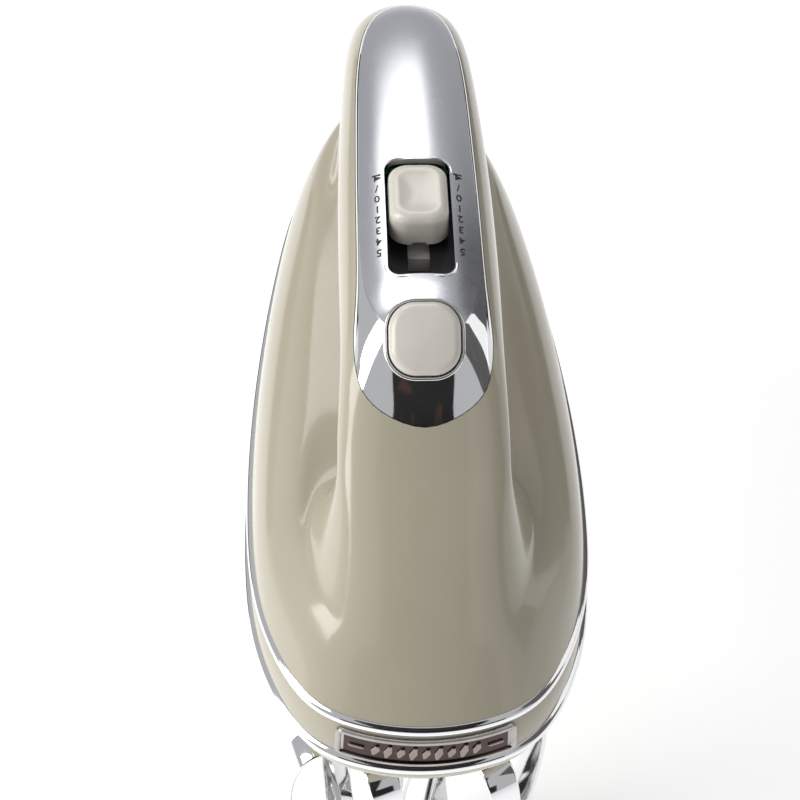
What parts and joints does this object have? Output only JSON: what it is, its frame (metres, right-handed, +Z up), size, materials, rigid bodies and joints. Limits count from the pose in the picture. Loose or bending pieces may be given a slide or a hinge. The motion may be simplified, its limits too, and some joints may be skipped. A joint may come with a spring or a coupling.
{
  "type": "hand mixer",
  "caption": "Hand mixer with a closed loop handle, slider speed control, turbo button, chrome trims, worm-geared motor and ejectable strip beaters.",
  "frame": {"origin": "middle of the grip, on the plane of symmetry", "axes": "+Z up with the beaters pointing down, -Y towards the nose, +X to the right of somebody looking along +Y"},
  "size_m": [0.0926, 0.2138, 0.2222],
  "materials": {
    "glossy_beige": "high gloss moulded plastic",
    "chrome": "mirror chrome",
    "satin_chrome": "satin chrome that turns into mirror chrome at the front cap",
    "pale_knob": "semi-gloss pale warm grey",
    "black_plastic": "matte black",
    "dark_chrome": null,
    "steel": "machined steel",
    "lamination_steel": "oiled laminations",
    "enamelled_copper": "enamelled copper wire",
    "brass": "plain brass",
    "carbon": "sintered carbon",
    "white_nylon": "natural nylon",
    "green_board": "circuit board",
    "grey_rubber": "matte rubber"
  },
  "bodies": {
    "housing": {"upper_housing": "glossy_beige", "upper_trim_ring": "chrome", "band_housing": "glossy_beige", "lower_trim_ring": "chrome", "lower_housing": "glossy_beige", "nameplate": "dark_chrome", "handle_cover": "satin_chrome", "slider_deck": "black_plastic", "eject_spring": "steel", "turbo_switch": "black_plastic", "turbo_spring": "steel", "speed_switch": "black_plastic", "control_board": "green_board", "suppressor_block": "black_plastic", "cord_gland": "grey_rubber", "motor_stator": "lamination_steel", "field_coil_upper": "enamelled_copper", "field_coil_lower": "enamelled_copper", "bearing_front": "steel", "bearing_rear": "steel", "motor_bracket_front": "lamination_steel", "motor_bracket_rear": "lamination_steel", "brush_plate": "black_plastic", "brush_holder_left": "brass", "brush_holder_right": "brass", "carbon_brush_left": "carbon", "carbon_brush_right": "carbon", "gearbox_base": "white_nylon", "gearbox_top": "white_nylon", "spindle_bush_left": "brass", "spindle_bush_right": "brass", "housing_screw_1": "steel", "housing_screw_2": "steel", "housing_screw_3": "steel", "housing_screw_4": "steel", "rest_pad_left": "grey_rubber", "rest_pad_right": "grey_rubber"},
    "speed_slider": {"slider_carriage": "white_nylon"},
    "eject_knob": {"speed_knob": "pale_knob"},
    "eject_slide": {"eject_bar": "white_nylon", "eject_fork": "white_nylon"},
    "turbo_button": {"turbo_button": "pale_knob"},
    "motor_rotor": {"motor_shaft": "steel", "armature_core": "lamination_steel", "armature_winding_front": "enamelled_copper", "armature_winding_rear": "enamelled_copper", "commutator": "brass", "worm": "steel", "cooling_fan": "white_nylon"},
    "gear_left": {"worm_wheel_left": "white_nylon", "spindle_left": "steel"},
    "gear_right": {"worm_wheel_right": "white_nylon", "spindle_right": "steel"},
    "beater_left": {"beater_stem_left": "chrome", "beater_loop_left_outer": "chrome", "beater_loop_left_inner": "chrome"},
    "beater_right": {"beater_stem_right": "chrome", "beater_loop_right_outer": "chrome", "beater_loop_right_inner": "chrome"}
  },
  "joints": [
    {"name": "speed_slide", "type": "slide", "parent": "housing", "child": "speed_slider", "axis": [0, -1, 0], "range_m": [0, 0.0132]},
    {"name": "eject_press", "type": "slide", "parent": "speed_slider", "child": "eject_knob", "axis": [0, 0, -1], "range_m": [0, 0.0032], "stiffness_N_per_m": 150, "springref_m": -0.003},
    {"name": "eject_slide_down", "type": "slide", "parent": "housing", "child": "eject_slide", "axis": [0, 0, -1], "range_m": [0, 0.0032], "stiffness_N_per_m": 150, "springref_m": -0.003, "deforming": ["eject_spring"]},
    {"name": "turbo_press", "type": "slide", "parent": "housing", "child": "turbo_button", "axis": [0, 0.5446, -0.8387], "range_m": [0, 0.0022], "stiffness_N_per_m": 600, "springref_m": -0.0015, "deforming": ["turbo_spring"]},
    {"name": "motor_spin", "type": "hinge", "parent": "housing", "child": "motor_rotor", "pos_m": [0, -0.049, -0.063], "axis": [0, 1, 0], "continuous": true},
    {"name": "gear_left_spin", "type": "hinge", "parent": "housing", "child": "gear_left", "pos_m": [-0.0152, -0.089, -0.063], "axis": [0, 0, 1], "continuous": true},
    {"name": "gear_right_spin", "type": "hinge", "parent": "housing", "child": "gear_right", "pos_m": [0.0152, -0.089, -0.063], "axis": [0, 0, 1], "continuous": true},
    {"name": "beater_left_release", "type": "slide", "parent": "gear_left", "child": "beater_left", "axis": [0, 0, -1], "range_m": [0, 0.0032], "stiffness_N_per_m": 600, "springref_m": -0.006},
    {"name": "beater_right_release", "type": "slide", "parent": "gear_right", "child": "beater_right", "axis": [0, 0, -1], "range_m": [0, 0.0032], "stiffness_N_per_m": 600, "springref_m": -0.006}
  ],
  "couplings": [
    {"joint": "gear_left_spin", "follows": "motor_spin", "ratio": 0.071429},
    {"joint": "gear_right_spin", "follows": "motor_spin", "ratio": -0.071429},
    {"joint": "eject_press", "follows": "beater_left_release", "ratio": 1},
    {"joint": "eject_slide_down", "follows": "beater_left_release", "ratio": 1},
    {"joint": "beater_right_release", "follows": "beater_left_release", "ratio": 1}
  ]
}
